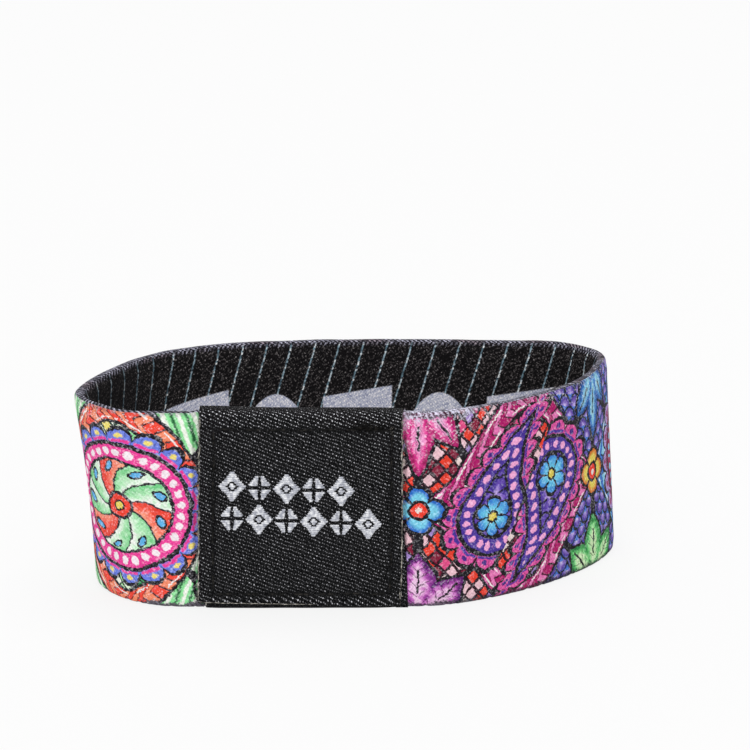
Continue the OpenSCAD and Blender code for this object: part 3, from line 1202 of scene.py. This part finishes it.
def make_stitches(look):
    """The sewn frame on both faces, and the loosened fibres where its seam ends."""
    spots, faces = [], []
    pitch, stitch, inset = 3.05, 2.45, 0.25
    corners = [(STITCHED.left, STITCHED.low), (STITCHED.right, STITCHED.low),
               (STITCHED.right, STITCHED.high), (STITCHED.left, STITCHED.high)]
    for side in (FRONT, BACK):
        for a, b in zip(corners, corners[1:] + corners[:1]):
            span = math.dist(a, b)
            count = round(span / pitch)
            step = span / count
            for k in range(count):
                sway = [0.1 * random.uniform(-1, 1) for _ in range(4)]
                t0 = (k * step + inset) / span
                t1 = t0 + stitch * step / pitch / span
                start = (a[0] + (b[0] - a[0]) * t0 + sway[0], a[1] + (b[1] - a[1]) * t0 + sway[1])
                end = (a[0] + (b[0] - a[0]) * t1 + sway[2], a[1] + (b[1] - a[1]) * t1 + sway[3])
                add_stitch(spots, faces, start, end, side, 0.13, 0.0)
    for _ in range(60):
        across, up = random.gauss(7.9, 1.2), random.gauss(23.3, 0.3)
        reach, stand = random.uniform(0.5, 1.5), random.uniform(0.05, 0.25)
        add_hair(spots, faces, across, up, random.uniform(-0.5, 0.8), reach, stand)
    return add_piece("label_stitches", spots, faces, [look])


def diamond_spans(up, split):
    """Where a diamond's floats run at one height, left and right of its middle, in mm. A split one has a
    cross of bare cloth, and an open one a bare ring round a small core."""
    half_wide, half_tall, stroke, half_gap, shortest = 1.72, 2.05, 0.96, 0.19, 0.12
    room = half_wide * (1 - abs(up) / half_tall)
    if split:
        return [(-room, -half_gap), (half_gap, room)] if abs(up) > 0.2 else []
    hole = half_wide * (1 - stroke / half_wide - abs(up) / half_tall * 1.15)
    if hole < shortest:
        return [(-room, room)]
    core = 0.42 - abs(up)
    return [(-room, -hole), (hole, room)] + ([(-core, core)] if core > shortest else [])


def make_ornament(look):
    """Two rows of open and split diamonds, raised in pale satin floats that lie across the label."""
    spots, faces = [], []
    pitch, first, slope = 3.38, -LABEL_WIDTH / 2 + 4.1, 0.045
    # The spacing of the floats, their radius and how high they stand.
    thread, radius, lift = 0.25, 0.15, 0.13
    for row_up, count, parity in ((15.95, 5, 0), (11.85, 6, 1)):
        for k in range(count):
            split = (k + parity) % 2
            for j in range(-7, 8):
                up = (j + 0.5 * split) * thread
                level = row_up + up - slope * k * pitch
                for left, right in diamond_spans(up, split):
                    middle = first + k * pitch + random.uniform(-0.05, 0.05)
                    if right - left > 0.2:
                        start, end = (middle + left, level), (middle + right, level)
                        add_stitch(spots, faces, start, end, FRONT, radius, lift, steps=7, fullness=8)
    return add_piece("label_ornament", spots, faces, [look])


def add_side_yarns(spots, faces, end, side):
    """Two yarns worked loose along one cut side, on the front or the back."""
    steps = 150
    outward = 1 if end > 0 else -1
    for inset, lift, radius, seed in ((0.02, 0.03, 0.09, 1), (-0.05, -0.30, 0.06, 2)):
        line = []
        for k in range(steps):
            up = 1.0 + (LABEL_HEIGHT - 2.2) * k / (steps - 1)
            sway = 0.09 * noise.noise(Vector((up * 1.3, seed, end * side)))
            stray = 0.2 * noise.noise(Vector((up * 0.8, seed + 5, end * side)))
            line.append(label_spot(end - outward * inset + sway, up, side, lift + stray))
        thickness = [0.7 + 0.8 * noise.noise(Vector((k / 4, seed, end))) for k in range(steps)]
        add_tube(spots, faces, line, [radius * share for share in thickness], (outward, 0, 0))


def add_foot_yarns(spots, faces):
    """The yarn along the front's lower cut edge, and the cut end of the lowest turn, which begins set in
    from the left side."""
    half = LABEL_WIDTH / 2
    steps = 120
    line = []
    for k in range(steps):
        t = k / (steps - 1)
        across = -half + 0.1 + (LABEL_WIDTH - 0.2) * t
        sway = 0.06 * noise.noise(Vector((across * 1.7, 8, 1)))
        lift = 0.40 - 0.10 * t + 0.16 * noise.noise(Vector((across * 0.9, 3, 1)))
        line.append(label_spot(across, 1.31 * foot_line(across) - 0.38 + sway, FRONT, lift))
    thickness = [0.85 + 0.8 * noise.noise(Vector((k / 5, 9, 2))) for k in range(steps)]
    add_tube(spots, faces, line, [0.052 * share for share in thickness], (0, -1, 0))
    line = [label_spot(-half + LABEL_FOOT_INSET - 0.02, 0.1 + 0.12 * k, FRONT, 0.34) for k in range(7)]
    add_tube(spots, faces, line, [0.07] * len(line), (0, -1, 0))


def add_side_fibre(spots, faces):
    """One short fibre that sticks out of a cut side."""
    end = random.choice((-LABEL_WIDTH / 2, LABEL_WIDTH / 2))
    outward = 1 if end > 0 else -1
    side = random.choice((FRONT, FRONT, BACK))
    up = random.uniform(1.0, LABEL_HEIGHT - 1.2)
    lift = random.uniform(-0.5, 0.0)
    reach = random.uniform(0.1, 0.42)
    drop, out = random.uniform(-0.25, 0.25), random.uniform(-0.1, 0.15)
    start = Vector(label_spot(end, up, side, lift))
    line = [
        tuple(start + Vector((outward * reach * t, -side * out * t * t, drop * t * t)))
        for t in (-0.2, 0.2, 0.5, 0.75, 1.0)
    ]
    add_tube(spots, faces, line, [0.03, 0.028, 0.025, 0.02, 0.012], (0, -side, 0.1), 4)


def make_edge_threads(look):
    """The loosened yarns along the tape's cut sides and its lower cut edge, and the fibres out of them."""
    spots, faces = [], []
    for end in (-LABEL_WIDTH / 2, LABEL_WIDTH / 2):
        for side in (FRONT, BACK):
            add_side_yarns(spots, faces, end, side)
    add_foot_yarns(spots, faces)
    for _ in range(7):
        across, up = random.gauss(11.2, 0.25), random.gauss(22.8, 0.25)
        add_hair(spots, faces, across, up, random.uniform(-0.9, 1.2), random.uniform(0.2, 0.6), 0.12)
    for _ in range(360):
        add_side_fibre(spots, faces)
    return add_piece("label_edge_threads", spots, faces, [look])


# Floor, lights and camera


def set_table():
    """A wide pale table that glows a little, as under a light tent."""
    reach = 4.0
    corners = [(-reach, -reach, 0), (reach, -reach, 0), (reach, reach, 0), (-reach, reach, 0)]
    mesh = bpy.data.meshes.new("table_top")
    mesh.from_pydata(corners, [], [(0, 1, 2, 3)])
    table = bpy.data.objects.new("table_top", mesh)
    bpy.context.collection.objects.link(table)
    look, _ = new_look(
        "light_table", Roughness=0.9, Base_Color=(0.09, 0.09, 0.09, 1), Specular_IOR_Level=0.1,
        Emission_Color=(1, 1, 1, 1), Emission_Strength=0.83,
    )
    mesh.materials.append(look)


def set_lights():
    """A white room, a soft light before the band and one over it."""
    world = bpy.data.worlds.new("studio")
    world.use_nodes = True
    background = world.node_tree.nodes["Background"]
    background.inputs["Color"].default_value = (1, 1, 1, 1)
    background.inputs["Strength"].default_value = 0.62
    bpy.context.scene.world = world
    for name, place, size, power in (
        ("front_softbox", (-0.25, -0.9, 1.1), 0.8, 10.5),
        ("top_softbox", (0.1, 0.25, 1.3), 1.0, 12),
    ):
        lamp = bpy.data.lights.new(name, "AREA")
        lamp.size = size
        lamp.energy = power
        light = bpy.data.objects.new(name, lamp)
        light.location = place
        light.rotation_euler = (-Vector(place)).to_track_quat("-Z", "Y").to_euler()
        bpy.context.collection.objects.link(light)


def set_camera():
    """The photo's view: from 0.6 m away, looking down on the band by some 15 degrees."""
    look_down, look_right = 15.245, 0.261
    lens = bpy.data.cameras.new("camera")
    lens.sensor_width = 36
    lens.lens = 233.58
    lens.clip_start = 0.01
    camera = bpy.data.objects.new("camera", lens)
    camera.location = (0.000686, -0.58818, 0.18541)
    camera.rotation_euler = (math.radians(90 - look_down), 0, math.radians(-look_right))
    bpy.context.collection.objects.link(camera)
    bpy.context.scene.camera = camera


set_camera()
set_table()
set_lights()

grains = new_group(
    "crossed_grains", {"Along": "Float", "Up": "Float", "Fineness": "Float"},
    {"Light": "Float", "Spark": "Float"}, build_grains,
)
floats = new_group(
    "satin_floats", {"Along": "Float", "Up": "Float"}, {"Crest": "Float", "Own": "Float"}, build_floats
)
selvage = new_group(
    "turned_yarns", {"Along": "Float", "Over": "Float"}, {"Colour": "Color", "Height": "Float"}, build_selvage
)
tape = label_weave(floats)
cut_edge = thread_look("cut_edge", "0e0d0e", "2e2b29", "66615a", roughness=0.85)
worn_thread = thread_look("worn_thread", "32302d", "7f7b73", "c4c0b6", roughness=0.8)
black_thread = thread_look(
    "black_thread", "030303", "0d0d0d", "2c2926", roughness=0.8, Specular_IOR_Level=0.15
)
pale_satin = thread_look("pale_satin", "989ba6", "bec0c7", "e8e9ec", roughness=0.62, fine=2600.0)

band = make_band([
    printed_face(grains, selvage), woven_lining(grains, floats, selvage), selvage_edge(selvage),
])
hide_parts("elastic_band")

label = make_label([tape, cut_edge])
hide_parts("label")
sewn_on = [
    make_tail(tape), make_stitches(black_thread), make_ornament(pale_satin), make_edge_threads(worn_thread),
]

bpy.context.scene.view_settings.view_transform = "Standard"
